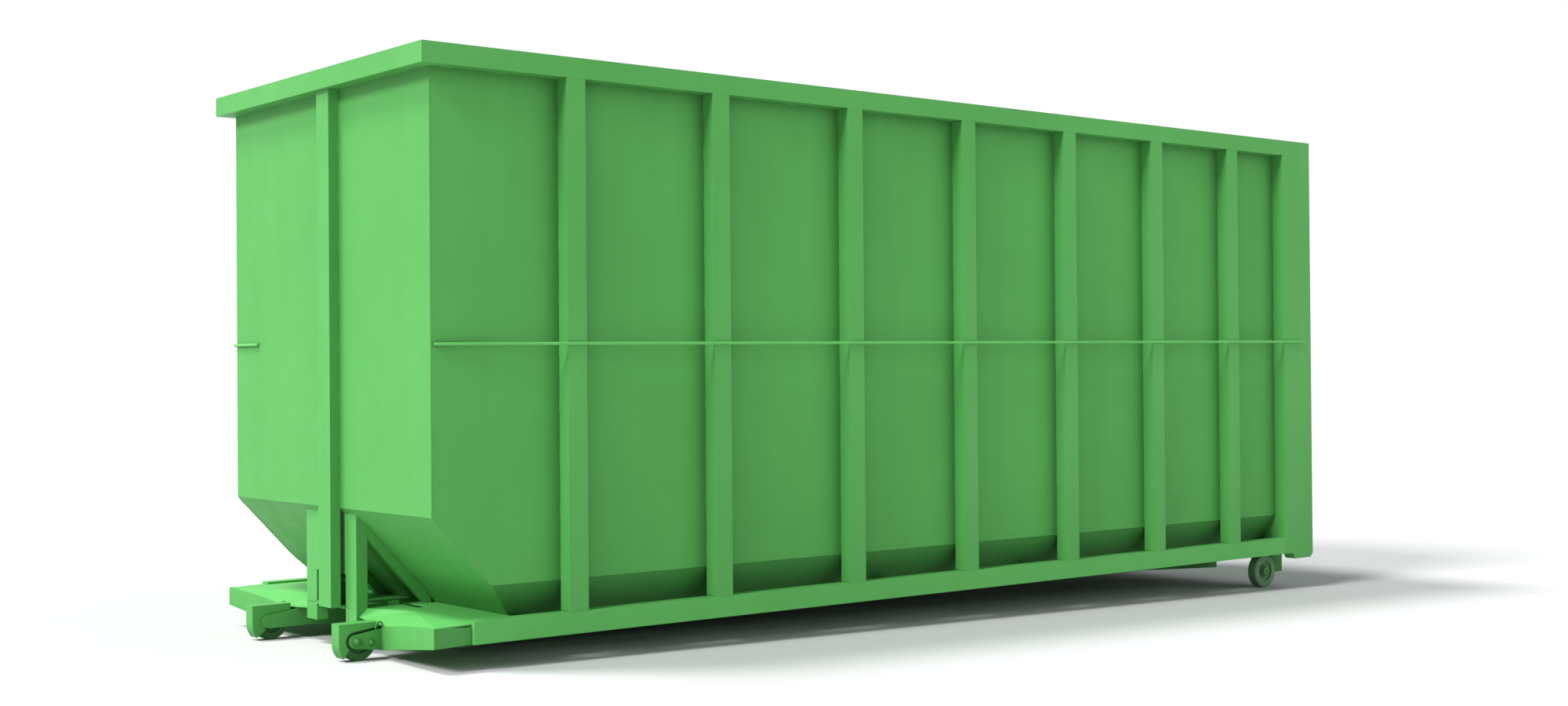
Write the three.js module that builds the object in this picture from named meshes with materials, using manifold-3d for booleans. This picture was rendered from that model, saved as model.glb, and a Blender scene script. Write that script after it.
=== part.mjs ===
// Open-top roll-off container: a tall steel tub with outside ribs, tapered lower sides and a sloped nose.
// It stands nose-down on two nose rollers and two rear wheels, and a full-height door closes the rear.
// Units are millimetres. +X is the left side, -Y the nose, +Y the rear door, +Z up.
// The body is drawn level, with y = 0 on the front wall and z = 0 under the side rails,
// and is then turned about X until rollers and wheels stand on the ground.
import * as THREE from 'three';
import { mergeVertices } from 'three/addons/utils/BufferGeometryUtils.js';
import Module from 'manifold-3d';

const wasm = await Module();
wasm.setup();

// Driving dimensions
const overall_width = 2438;
const side_length = 6735;
const body_height = 2843;
const seat = 0.3;
const overrun = 20;

// Sheets of the tub
const sheet_thickness = 5;
const floor_thickness = 6;
const floor_drop = 12;
const taper_top = 263;
const taper_run = 105;
const fold_height = 605;
const slope_run = 466;

// Rails, ribs and rods
const top_rail_height = 102;
const top_rail_depth = 102;
const front_overhang = 80;
const bottom_rail_height = 110;
const bottom_rail_depth = 76;
const bottom_rail_front = 176;
const rail_wall = 6;
const rib_depth = 85;
const rib_width = 108;
const rib_wall = 5;
const rib_station_shares = [0.1126, 0.2445, 0.3816, 0.5114, 0.6393, 0.7599, 0.8738];
const rod_radius = 8;
const rod_rear_height = 1458;
const rod_front_heights = { left: 1426, right: 1452 };
const rod_front = 16;
const rod_end_gap = 107;
const rod_return_x = 830;
const rod_sides = 10;

// Front post, set off the centre line
const front_post_width = 140;
const front_post_depth = 54;
const front_post_centre = 95;
const front_post_foot = 100;
const front_post_wall = 6;

// Rear posts and rear sill
const rear_post_width = 305;
const rear_sill_length = 115;
const closure_thickness = 6;
const post_foot = { length: 225, drop: 40, ramp: 30, lift: 14 };

// Understructure
const sill_outer_x = 463;
const sill_width = 51;
const sill_height = 152;
const cross_height = 64;
const cross_width = 60;
const cross_wall = 6;
const cross_count = 6;
const cross_first = 475;
const shoe_length = 820;
const shoe_rear_gap = 115;
const shoe_drop = 38;

// Nose
const skirt_thickness = 8;
const skirt_recess = 20;
const skirt_corner_y = -25;
const skirt_inner_y = 25;
const skirt_inner_low = -75;
const skirt_inner_high = 38;
const skirt_outer_low = -5;
const skirt_outer_high = 92;
const skirt_rear_high = 82;
const deck_thickness = 6;
const deck_front = 33;
const deck_centre_front = 15;
const deck_fold_y = 200;
const deck_dip = 38;
const hand_hole = { x: 232, y: 290, width: 206, length: 60 };
const deck_lug = { x: 181, y: 223, width: 61, length: 62, height: 22 };
const strut_inner_x = 45;
const strut_width = 246;
const strut_foot_x = 170;
const strut_foot_height = 3;
const strut_step_height = 266;
const strut_front = 25;
const strut_depth = 60;
const brace_width = 50;
const brace_drop = 62;
const brace_foot = 440;
const hook_plate_x = 50;
const hook_plate_thickness = 16;
const hook_plate_radius = 27;
const pull_pin_radius = 22;
const pull_pin_y = 58;
const pull_pin_z = 238;
const pull_foot_thickness = 10;
const round_steps = 16;

// Nose rollers
const roller_radius = 88;
const roller_width = 62;
const roller_y = -86;
const roller_z = -34;
const axle_radius = 16;
const running_gap = 1;
const arm_outer_x = 570;
const arm_thickness = 12;
const arm_end_radius = 34;
const arm_nose = { ahead: 26, up: 10 };
const arm_rear = 200;
const inner_arm_rear = 560;
const inner_arm_low = -58;
const arm_bolts = { front_radius: 14, rear_radius: 11, back: 54, height: 6 };
const guard_plate = 8;
const guard_clearance = 14;
const guard_top = 65;
const guard_rear = 15;
const guard_arc_degrees = 40;
const guard_mouth = 14;
const guard_mouth_degrees = 230;
const guard_seat_degrees = -35;

// Rear wheels
const wheel_radius = 114;
const wheel_width = 66;
const wheel_side_inset = 219;
const wheel_rear_inset = 250;
const wheel_z = -138;
const stub_radius = 20;
const bracket_thickness = 14;
const bracket_half_length = 62;
const stop_block = { inset: 40, gap: 6, drop: 158, wall: 8 };

// Wheels in common
const wheel_facets = 28;
const bore_facets = 20;
const rim_share = 0.6;
const hub_share = 0.38;
const web_recess_share = 0.16;
const tread_chamfer_share = 0.05;

// Rear door
const door_depth = 80;
const door_gap = 5;
const door_sill_gap = 12;
const door_tube = 102;
const door_wall = 6;
const door_rib_height = 76;
const door_rib_shares = [0.2, 0.4, 0.6, 0.8];
const door_sheet_thickness = 5;

// Door hinge
const hinge_inset = 35;
const hinge_reach = 42;
const hinge_rod_radius = 15;
const knuckle_radius = 30;
const knuckle_height = 70;
const lug_height = 40;
const hinge_strap_thickness = 16;
const hinge_strap_length = 260;
const hinge_gap = 2;

// Door latch: a lift bar with fingers that drop into pockets on the rear post
const latch_bar_inset = 157;
const latch_bar_radius = 16;
const latch_bar_reach = 24;
const latch_bar_foot = 208;
const latch_bar_head = 283;
const latch_travel = 110;
const guide_radius = 27;
const guide_height = 50;
const guide_station_shares = [0.04, 0.3, 0.64, 0.93];
const finger_station_shares = [0.14, 0.5, 0.82];
const finger_thickness = 12;
const finger_height = 55;
const finger_inset = 48;
const finger_tip_length = 28;
const finger_tip_drop = 60;
const pocket_clearance = 6;
const pocket_lip = 10;
const pocket_depth = 34;
const lever_pivot_back = 120;
const lever_rib_index = 1;
const lever_pivot_radius = 15;
const lever_thickness = 12;
const lever_height = 40;
const lever_length = 560;
const lever_offset = 46;
const lever_lift_gap = 2;
const lever_nose_radius = 17;
const lift_lug = { back: 4, front: 26, height: 14 };
const lever_grip_radius = 17;
const lever_grip_length = 130;

// Places worked out from the driving dimensions
const half_width = overall_width / 2;
const wall_x = half_width - rib_depth;
const rail_under = body_height - top_rail_height;
const floor_top = bottom_rail_height - floor_drop;
const floor_under = floor_top - floor_thickness;
const rear_face = side_length;
const post_front = rear_face - rear_post_width;
const door_front = rear_face - door_depth;
const sheet_rear = door_front - door_gap;
const sheet_top = rail_under - seat;
const rail_inner_x = half_width - bottom_rail_depth;
const sill_inner_x = sill_outer_x - sill_width;
const sill_top = floor_under - cross_height;
const sill_under = sill_top - sill_height;
const rear_sill_front = rear_face - rear_sill_length;
const strut_outer_x = strut_inner_x + strut_width;
const skirt_x = half_width - skirt_recess;
const arm_inner_x = arm_outer_x - arm_thickness;
const inner_arm_x = sill_outer_x + seat;
const guard_outer_x = arm_inner_x - seat;
const guard_inner_x = inner_arm_x + arm_thickness + seat;
const guard_outer_radius = roller_radius + guard_clearance + guard_plate;
const guard_front = roller_y - guard_outer_radius;
const roller_inner_x = (guard_inner_x + guard_outer_x - roller_width) / 2;
const post_face_y = -front_post_depth;
const wheel_outer_x = half_width - wheel_side_inset;
const wheel_y = rear_face - wheel_rear_inset;
const latch_bar_x = half_width - latch_bar_inset;
const finger_end_x = half_width - finger_inset;
const hinge_x = half_width - hinge_inset;
const hinge_y = rear_face + hinge_reach;
const door_low = bottom_rail_height + door_sill_gap;
const door_high = body_height;
const latch_bar_low = door_low + latch_bar_foot;
const latch_bar_high = door_high - latch_bar_head;
const lever_pivot_z = door_low + door_rib_shares[lever_rib_index] * (door_high - door_low);
const lever_rest = Math.atan2(latch_travel / 2, lever_pivot_back);
const lever_nose_reach = lever_pivot_back / Math.cos(lever_rest);

// Materials
const paint = new THREE.MeshStandardMaterial({ color: 0x62b261, roughness: 0.5, metalness: 0.1 });
const shaded_paint = new THREE.MeshStandardMaterial({ color: 0x4f9450, roughness: 0.6, metalness: 0.1 });
const wheel_steel = new THREE.MeshStandardMaterial({ color: 0x4c5a4b, roughness: 0.65, metalness: 0.5 });
const bar_steel = new THREE.MeshStandardMaterial({ color: 0x5a6a58, roughness: 0.5, metalness: 0.7 });

// Shapes. Outlines are lists of points; each helper names the two axes of its outline.
function shapeOf(points) {
  return new THREE.Shape(points.map(([a, b]) => new THREE.Vector2(a, b)));
}

function prism(points, from, to, axes) {
  const options = { depth: to - from, bevelEnabled: false, steps: 1 };
  const geometry = new THREE.ExtrudeGeometry(shapeOf(points), options);
  geometry.translate(0, 0, from);
  return geometry.applyMatrix4(new THREE.Matrix4().makeBasis(...axes));
}

const X = new THREE.Vector3(1, 0, 0);
const Y = new THREE.Vector3(0, 1, 0);
const Z = new THREE.Vector3(0, 0, 1);

// Outline in (y, z), drawn out along X
function alongX(points, from, to) {
  return prism(points, from, to, [Y, Z, X]);
}

// Outline in (x, z), drawn out along Y
function alongY(points, from, to) {
  return prism(points.map(([x, z]) => [z, x]), from, to, [Z, X, Y]);
}

// Outline in (x, y), drawn out along Z
function alongZ(points, from, to) {
  return prism(points, from, to, [X, Y, Z]);
}

function rectangle(a0, a1, b0, b1) {
  return [[a0, b0], [a1, b0], [a1, b1], [a0, b1]];
}

function box(x0, x1, y0, y1, z0, z1) {
  return alongZ(rectangle(x0, x1, y0, y1), z0, z1);
}

function arc(centre, radius, from_degrees, to_degrees, steps) {
  const points = [];
  for (let i = 0; i <= steps; i += 1) {
    const angle = THREE.MathUtils.degToRad(from_degrees + (to_degrees - from_degrees) * i / steps);
    points.push([centre[0] + radius * Math.cos(angle), centre[1] + radius * Math.sin(angle)]);
  }
  return points;
}

function disc(centre, radius, facets) {
  return arc(centre, radius, 0, 360, facets).slice(0, -1);
}

// Solids for cutting and joining
function solid(geometry) {
  const bare = geometry.index ? geometry.toNonIndexed() : geometry.clone();
  bare.deleteAttribute('normal');
  bare.deleteAttribute('uv');
  const merged = mergeVertices(bare, 1e-4);
  return new wasm.Manifold(new wasm.Mesh({
    numProp: 3,
    vertProperties: new Float32Array(merged.attributes.position.array),
    triVerts: new Uint32Array(merged.index.array),
  }));
}

function geometryOf(body) {
  const mesh = body.getMesh();
  const geometry = new THREE.BufferGeometry();
  geometry.setAttribute('position', new THREE.BufferAttribute(mesh.vertProperties, 3));
  geometry.setIndex(new THREE.BufferAttribute(mesh.triVerts, 1));
  const flat = geometry.toNonIndexed();
  flat.computeVertexNormals();
  return flat;
}

function join(...geometries) {
  return geometryOf(geometries.map(solid).reduce((whole, piece) => whole.add(piece)));
}

function cut(geometry, ...tools) {
  return geometryOf(tools.map(solid).reduce((rest, tool) => rest.subtract(tool), solid(geometry)));
}

function common(geometry, other) {
  return geometryOf(solid(geometry).intersect(solid(other)));
}

// Mirrored copy for the other side of the container
function mirrored(geometry) {
  const copy = geometry.index ? geometry.toNonIndexed() : geometry.clone();
  const position = copy.attributes.position;
  for (let i = 0; i < position.count; i += 3) {
    const corners = [0, 2, 1].map((k) => new THREE.Vector3().fromBufferAttribute(position, i + k));
    corners.forEach((p, k) => position.setXYZ(i + k, -p.x, p.y, p.z));
  }
  copy.deleteAttribute('uv');
  copy.computeVertexNormals();
  return copy;
}

const container = new THREE.Group();

function add(name, geometry, material = paint) {
  const mesh = new THREE.Mesh(geometry, material);
  mesh.name = name;
  container.add(mesh);
  return mesh;
}

function addPair(name, geometry, material = paint) {
  add(`${name}_left`, geometry, material);
  add(`${name}_right`, mirrored(geometry), material);
}

// Lines of the tub: the taper of the sides and the slope of the nose
const taper_rate = taper_run / (taper_top - floor_top);
const slope_rate = slope_run / (fold_height - floor_top);
const taper_skin = sheet_thickness * Math.hypot(1, taper_rate);
const slope_skin = sheet_thickness * Math.hypot(1, slope_rate);

function taperX(z) {
  return wall_x - (taper_top - z) * taper_rate;
}

function slopeY(z) {
  return (fold_height - z) * slope_rate;
}

function slopeZ(y) {
  return fold_height - y / slope_rate;
}

// Side sheets: upright above, drawn in to the floor below, cut off along the slope of the nose
function sideSheet() {
  const inner_bend = taper_top + (taper_skin - sheet_thickness) / taper_rate;
  const section = [
    [wall_x, sheet_top],
    [wall_x, taper_top],
    [taperX(floor_under), floor_under],
    [taperX(floor_under) - taper_skin, floor_under],
    [wall_x - sheet_thickness, inner_bend],
    [wall_x - sheet_thickness, sheet_top],
  ];
  const below_slope = [
    [-overrun, fold_height],
    [0, fold_height],
    [slopeY(floor_under - overrun), floor_under - overrun],
    [-overrun, floor_under - overrun],
  ];
  return cut(alongY(section, 0, sheet_rear), alongX(below_slope, 0, half_width));
}

// Front sheet: upright wall with a fold, then the slope down to the floor, fitted between the side sheets
function frontSheet() {
  const inner_bend = fold_height + (slope_skin - sheet_thickness) / slope_rate;
  const profile = [
    [0, sheet_top],
    [0, fold_height],
    [slopeY(floor_under), floor_under],
    [slopeY(floor_under) + slope_skin, floor_under],
    [sheet_thickness, inner_bend],
    [sheet_thickness, sheet_top],
  ];
  const reach = wall_x - sheet_thickness - seat;
  const foot = taperX(floor_under) - taper_skin - seat;
  const drop = floor_under - overrun;
  const foot_below = foot - overrun * taper_rate;
  const bend = floor_under + (reach - foot) / taper_rate;
  const between_sides = [
    [-reach, body_height],
    [-reach, bend],
    [-foot_below, drop],
    [foot_below, drop],
    [reach, bend],
    [reach, body_height],
  ];
  return common(alongX(profile, -half_width, half_width), alongY(between_sides, -overrun, slope_run + overrun));
}

function floorSheet() {
  const reach = taperX(floor_under) - taper_skin - seat;
  const front = slopeY(floor_under) + slope_skin + seat;
  return box(-reach, reach, front, rear_face, floor_under, floor_top);
}

// Top rail: square tube, mitred at the front corners, its rear ends closed
function topSideRail() {
  const inner_x = half_width - top_rail_depth;
  const outline = [
    [half_width, seat - front_overhang],
    [half_width, rear_face],
    [inner_x, rear_face],
    [inner_x, seat - front_overhang + top_rail_depth],
  ];
  const bore = box(inner_x + rail_wall, half_width - rail_wall, -front_overhang - overrun,
    rear_face - rail_wall, rail_under + rail_wall, body_height - rail_wall);
  return cut(alongZ(outline, rail_under, body_height), bore);
}

function topFrontRail() {
  const inner_x = half_width - top_rail_depth;
  const inner_y = top_rail_depth - front_overhang;
  const outline = [
    [-half_width + seat, -front_overhang],
    [half_width - seat, -front_overhang],
    [inner_x - seat, inner_y],
    [-inner_x + seat, inner_y],
  ];
  const bore = box(-half_width - overrun, half_width + overrun, rail_wall - front_overhang,
    inner_y - rail_wall, rail_under + rail_wall, body_height - rail_wall);
  return cut(alongZ(outline, rail_under, body_height), bore);
}

function bottomRail() {
  const rear = post_front - seat;
  const bore = box(rail_inner_x + rail_wall, half_width - rail_wall, bottom_rail_front + rail_wall,
    rear + overrun, rail_wall, bottom_rail_height - rail_wall);
  return cut(box(rail_inner_x, half_width, bottom_rail_front, rear, 0, bottom_rail_height), bore);
}

// Upright rectangular tube, open at both ends
function uprightTube(x0, x1, y0, y1, wall, z0, z1) {
  const bore = box(x0 + wall, x1 - wall, y0 + wall, y1 - wall, z0 - overrun, z1 + overrun);
  return cut(box(x0, x1, y0, y1, z0, z1), bore);
}

function rib(station) {
  const y = station * side_length;
  return uprightTube(wall_x + seat, half_width, y - rib_width / 2, y + rib_width / 2, rib_wall,
    bottom_rail_height + seat, rail_under - seat);
}

// Tie rods at mid height, welded to the wall at the front corner and then across the ribs
function rodPiece(from, to) {
  const length = from.distanceTo(to);
  const geometry = new THREE.CylinderGeometry(rod_radius, rod_radius, length, rod_sides);
  const turn = new THREE.Quaternion().setFromUnitVectors(Y, to.clone().sub(from).normalize());
  geometry.applyQuaternion(turn);
  const middle = from.clone().lerp(to, 1 / 2);
  return geometry.translate(middle.x, middle.y, middle.z);
}

function tieRod(points) {
  const pieces = [];
  for (let i = 1; i < points.length; i += 1) {
    pieces.push(rodPiece(points[i - 1], points[i]));
    if (i < points.length - 1) {
      const bend = new THREE.SphereGeometry(rod_radius, rod_sides, rod_sides / 2);
      pieces.push(bend.translate(points[i].x, points[i].y, points[i].z));
    }
  }
  return join(...pieces);
}

function rodPoint(x, y, front_height) {
  return new THREE.Vector3(x, y, front_height + (rod_rear_height - front_height) * y / rear_face);
}

function tieRods() {
  const off = rod_radius + seat;
  const first_rib = rib_station_shares[0] * side_length;
  const left = (x, y) => rodPoint(x, y, rod_front_heights.left);
  const right = (x, y) => rodPoint(-x, y, rod_front_heights.right);
  const rib_y = first_rib - rib_width;
  const end_y = rear_face - rod_end_gap;
  add('tie_rod_left', tieRod([
    left(wall_x + off, rod_front), left(half_width + off, rib_y), left(half_width + off, end_y),
  ]));
  add('tie_rod_right', tieRod([
    right(rod_return_x, -off), right(wall_x + off, -off), right(half_width + off, rib_y), right(half_width + off, end_y),
  ]));
}

function frontPost() {
  const x0 = front_post_centre - front_post_width / 2;
  const x1 = front_post_centre + front_post_width / 2;
  const w = front_post_wall;
  const section = [
    [x0, -seat], [x0, post_face_y], [x1, post_face_y], [x1, -seat],
    [x1 - w, -seat], [x1 - w, post_face_y + w], [x0 + w, post_face_y + w], [x0 + w, -seat],
  ];
  return alongZ(section, front_post_foot, rail_under - seat);
}

// Rear posts: wide tubes with a plate that closes the taper; the left one has the latch pockets
function rearPost() {
  const tube = uprightTube(wall_x + seat, half_width, post_front, rear_face, rail_wall, 0, rail_under - seat);
  const off = seat * Math.hypot(1, taper_rate);
  const into_post = wall_x + closure_thickness;
  const plate = [
    [taperX(floor_under) + off, floor_under],
    [into_post, floor_under],
    [into_post, taper_top],
    [wall_x + off, taper_top],
  ];
  const foot_y = rear_face - post_foot.length;
  const bite = rail_wall / 2;
  const foot = [
    [foot_y, bite],
    [foot_y, 0],
    [foot_y + post_foot.ramp, -post_foot.drop],
    [rear_face - post_foot.ramp, -post_foot.drop],
    [rear_face, -post_foot.lift],
    [rear_face, bite],
  ];
  return join(
    tube,
    alongY(plate, post_front, post_front + closure_thickness),
    alongX(foot, wall_x + seat, half_width),
  );
}

function latchHeight(share) {
  return latch_bar_low + share * (latch_bar_high - latch_bar_low);
}

function latchPocket(share) {
  const finger_low = latchHeight(share) - finger_height / 2 - finger_tip_drop;
  const low = finger_low - latch_travel - pocket_clearance;
  const floor_low = low - pocket_lip;
  const high = low + finger_tip_drop - pocket_clearance;
  const x0 = finger_end_x - finger_tip_length - pocket_clearance;
  const x1 = finger_end_x + pocket_clearance + pocket_lip;
  const lip_y = rear_face + pocket_depth;
  const into_post = rear_face - rail_wall / 2;
  const lip = box(x0, x1, lip_y, lip_y + pocket_lip, floor_low, high);
  const shelf = box(x0, x1, into_post, lip_y + pocket_lip, floor_low, low);
  const cheek = box(x1 - pocket_lip, x1, into_post, lip_y + pocket_lip, floor_low, high);
  return [lip, shelf, cheek];
}

function hingeHeight(share) {
  return door_low + share * (door_high - door_low);
}

// Hinge lug of the post: a barrel above and one below each knuckle of the door
function hingeLugs(share) {
  const middle = hingeHeight(share);
  const gap = knuckle_height / 2 + hinge_gap;
  return [[middle + gap, middle + gap + lug_height], [middle - gap - lug_height, middle - gap]].flatMap(([z0, z1]) => {
    const barrel = alongZ(disc([hinge_x, hinge_y], knuckle_radius, bore_facets), z0, z1);
    const web = box(hinge_x - rail_wall, hinge_x + rail_wall, rear_face - rail_wall / 2, hinge_y, z0, z1);
    return [barrel, web];
  });
}

function hingeBore() {
  const facets = disc([hinge_x, hinge_y], hinge_rod_radius + running_gap, bore_facets);
  return alongZ(facets, -overrun, body_height + overrun);
}

function rearPosts() {
  add('rear_post_left', join(rearPost(), ...finger_station_shares.flatMap(latchPocket)));
  const right = cut(join(rearPost(), ...door_rib_shares.flatMap(hingeLugs)), hingeBore());
  add('rear_post_right', mirrored(right));
}

function rearSill() {
  const rail = rail_wall;
  const bore = box(-half_width, half_width, rear_sill_front + rail, rear_face - rail, rail, floor_under - seat - rail);
  return cut(box(-wall_x, wall_x, rear_sill_front, rear_face, 0, floor_under - seat), bore);
}

// Long sills: tubes with a closed nose and a wedge-shaped wear shoe under the rear
function longSill() {
  const rear = rear_sill_front - seat;
  const top = sill_top - seat;
  const tube = cut(
    box(sill_inner_x, sill_outer_x, cross_first, rear, sill_under, top),
    box(sill_inner_x + rail_wall, sill_outer_x - rail_wall, cross_first + rail_wall, rear + overrun,
      sill_under + rail_wall, top - rail_wall),
  );
  const bite = rail_wall / 2;
  const shoe_rear = rear_face - shoe_rear_gap;
  const shoe_front = shoe_rear - shoe_length;
  const shoe = [
    [shoe_front, sill_under + bite],
    [shoe_front, sill_under],
    [shoe_rear, sill_under - shoe_drop],
    [shoe_rear, sill_under + bite],
  ];
  return join(tube, alongX(shoe, sill_inner_x, sill_outer_x));
}

function crossMember(index) {
  const last = post_front - cross_width - seat;
  const y0 = cross_first + (last - cross_first) * index / (cross_count - 1);
  const y1 = y0 + cross_width;
  const w = cross_wall;
  const top = floor_under - seat;
  const section = [
    [y0, sill_top], [y1, sill_top], [y1, sill_top + w], [y0 + w, sill_top + w],
    [y0 + w, top - w], [y1, top - w], [y1, top], [y0, top],
  ];
  return alongX(section, -rail_inner_x + seat, rail_inner_x - seat);
}

// Nose skirt: low side plate ahead of the bottom rail, bent round to a front plate that falls to the roller
function noseSkirt() {
  const t = skirt_thickness;
  const inner_x = arm_outer_x + seat;
  const side_face = [
    [skirt_corner_y, skirt_outer_low],
    [bottom_rail_front - seat, 0],
    [bottom_rail_front - seat, skirt_rear_high],
    [skirt_corner_y, skirt_outer_high],
  ];
  const middle_x = (skirt_x + inner_x) / 2;
  const front_face = [
    [skirt_x, skirt_outer_low],
    [skirt_x, skirt_outer_high],
    [middle_x, (skirt_outer_high + skirt_inner_high) / 2 + t],
    [inner_x, skirt_inner_high],
    [inner_x, skirt_inner_low],
  ];
  const turn = Math.atan2(skirt_inner_y - skirt_corner_y, skirt_x - inner_x);
  const front = alongY(front_face, 0, t);
  front.translate(-skirt_x, 0, 0);
  front.rotateZ(-turn);
  front.translate(skirt_x, skirt_corner_y, 0);
  return join(alongX(side_face, skirt_x - t, skirt_x), front);
}

// Plate of one thickness over a folded surface, given as corners and the triangles between them
function foldedPlate(corners, triangles, thickness) {
  const points = [...corners, ...corners.map(([x, y, z]) => [x, y, z - thickness])];
  const below = corners.length;
  const faces = [];
  const edges = new Map();
  triangles.forEach(([a, b, c]) => {
    faces.push([a, b, c], [a + below, c + below, b + below]);
    [[a, b], [b, c], [c, a]].forEach(([from, to]) => edges.set(`${from}/${to}`, [from, to]));
  });
  edges.forEach(([from, to]) => {
    if (!edges.has(`${to}/${from}`)) {
      faces.push([from, from + below, to + below], [from, to + below, to]);
    }
  });
  const geometry = new THREE.BufferGeometry();
  geometry.setAttribute('position', new THREE.Float32BufferAttribute(faces.flat().flatMap((i) => points[i]), 3));
  geometry.computeVertexNormals();
  return geometry;
}

// Nose deck: plate from the foot of the slope forward, folded down towards the roller arm,
// with a notch round the strut, a hand hole and a lug
function noseDeck() {
  const high = floor_top;
  const middle = seat / 2;
  const outer_x = skirt_x - skirt_thickness - seat;
  const rail_x = rail_inner_x - seat;
  const rear = slopeY(floor_top) - seat;
  const side_end = bottom_rail_front - seat;
  const notch_rear = strut_front + strut_depth + seat;
  const strut_out = strut_outer_x + seat;
  const corners = [
    [middle, rear, high],
    [rail_x, rear, high],
    [rail_x, side_end, high],
    [outer_x, side_end, high],
    [outer_x, skirt_corner_y + skirt_thickness * 2, skirt_outer_high],
    [arm_outer_x, deck_front + skirt_thickness, skirt_inner_high],
    [strut_out, deck_front + skirt_thickness, high - deck_dip],
    [strut_out, notch_rear, high],
    [strut_foot_x - seat, notch_rear, high],
    [strut_foot_x - seat, deck_centre_front, high],
    [middle, deck_centre_front, high],
    [arm_outer_x, deck_fold_y, high],
  ];
  const triangles = [
    [0, 11, 1], [1, 11, 2], [2, 11, 3], [3, 11, 4], [4, 11, 5], [5, 11, 6], [6, 11, 7],
    [7, 11, 0], [7, 0, 8], [8, 0, 10], [8, 10, 9],
  ];
  const hole = box(hand_hole.x, hand_hole.x + hand_hole.width, hand_hole.y, hand_hole.y + hand_hole.length,
    floor_under - overrun, high + overrun);
  const lug = box(deck_lug.x, deck_lug.x + deck_lug.width, deck_lug.y, deck_lug.y + deck_lug.length,
    high - deck_thickness, high + deck_lug.height);
  return join(cut(foldedPlate(corners, triangles, deck_thickness), hole), lug);
}

// Nose struts: a wide tube up to the slope, stepped at its foot, with a brace along the underside of the slope
function noseStrut() {
  const y1 = strut_front + strut_depth;
  const wide = uprightTube(strut_inner_x, strut_outer_x, strut_front, y1, rail_wall, strut_step_height, fold_height);
  const foot = uprightTube(strut_foot_x, strut_outer_x, strut_front, y1, rail_wall, strut_foot_height,
    strut_step_height + strut_depth);
  const off = seat * Math.hypot(1, 1 / slope_rate);
  const above_slope = [
    [-overrun, slopeZ(-overrun) - off],
    [slope_run, slopeZ(slope_run) - off],
    [slope_run, body_height],
    [-overrun, body_height],
  ];
  const start = y1 - rail_wall;
  const brace = [
    [start, slopeZ(start) - off],
    [brace_foot, slopeZ(brace_foot) - off],
    [brace_foot, floor_top + seat],
    [slopeY(floor_top + brace_drop), floor_top + seat],
    [start, slopeZ(start) - off - brace_drop],
  ];
  const trimmed = cut(join(wide, foot), alongX(above_slope, 0, half_width));
  return join(trimmed, alongX(brace, strut_outer_x - brace_width, strut_outer_x));
}

// Pull frame: the pin that the hoist hooks on to, on two plates that stand on the nose deck
function pullFrame() {
  const low = floor_top + seat;
  const y0 = deck_centre_front;
  const y1 = pull_pin_y * 2 - deck_centre_front;
  const reach = strut_foot_x - seat;
  const foot = box(-reach, reach, y0, y1, low, low + pull_foot_thickness);
  const plate = [
    [y0, low],
    [y1, low],
    ...arc([pull_pin_y, pull_pin_z], hook_plate_radius, 0, 180, round_steps / 2),
  ];
  const x0 = hook_plate_x;
  const x1 = hook_plate_x + hook_plate_thickness;
  const pin = alongX(disc([pull_pin_y, pull_pin_z], pull_pin_radius, bore_facets), -reach, reach);
  return join(foot, alongX(plate, x0, x1), alongX(plate, -x1, -x0), pin);
}

// Roller guard: top, front and round lower nose between two cheeks with a mouth for the axle;
// the inner cheek seats flat on the inner arm behind the mouth
function rollerGuard() {
  const centre = [roller_y, roller_z];
  const r_out = guard_outer_radius;
  const r_in = r_out - guard_plate;
  const stop = 180 + guard_arc_degrees;
  const outer_arc = arc(centre, r_out, 180, stop, round_steps / 2);
  const band = [
    [guard_rear, guard_top],
    [guard_front, guard_top],
    ...outer_arc,
    ...arc(centre, r_in, stop, 180, round_steps / 2),
    [guard_front + guard_plate, guard_top - guard_plate],
    [guard_rear, guard_top - guard_plate],
  ];
  const nose = [roller_y - arm_nose.ahead, roller_z + arm_nose.up];
  const mouth_radius = arm_end_radius + guard_mouth;
  const outer_cheek = [
    [guard_rear, guard_top],
    [guard_front, guard_top],
    ...outer_arc,
    ...arc(nose, mouth_radius, guard_mouth_degrees, 90, round_steps),
    [guard_rear, skirt_inner_high - deck_thickness + guard_mouth * 2 / 3],
  ];
  const low = roller_z + mouth_radius * Math.sin(THREE.MathUtils.degToRad(guard_seat_degrees));
  const inner_cheek = [
    [guard_rear, guard_top],
    [guard_front, guard_top],
    ...outer_arc,
    ...arc(centre, mouth_radius, stop, guard_seat_degrees, round_steps),
    [guard_rear, low],
  ];
  return join(
    alongX(inner_cheek, guard_inner_x, guard_inner_x + guard_plate),
    alongX(outer_cheek, guard_outer_x - guard_plate, guard_outer_x),
    alongX(band, guard_inner_x, guard_outer_x),
  );
}

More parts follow.
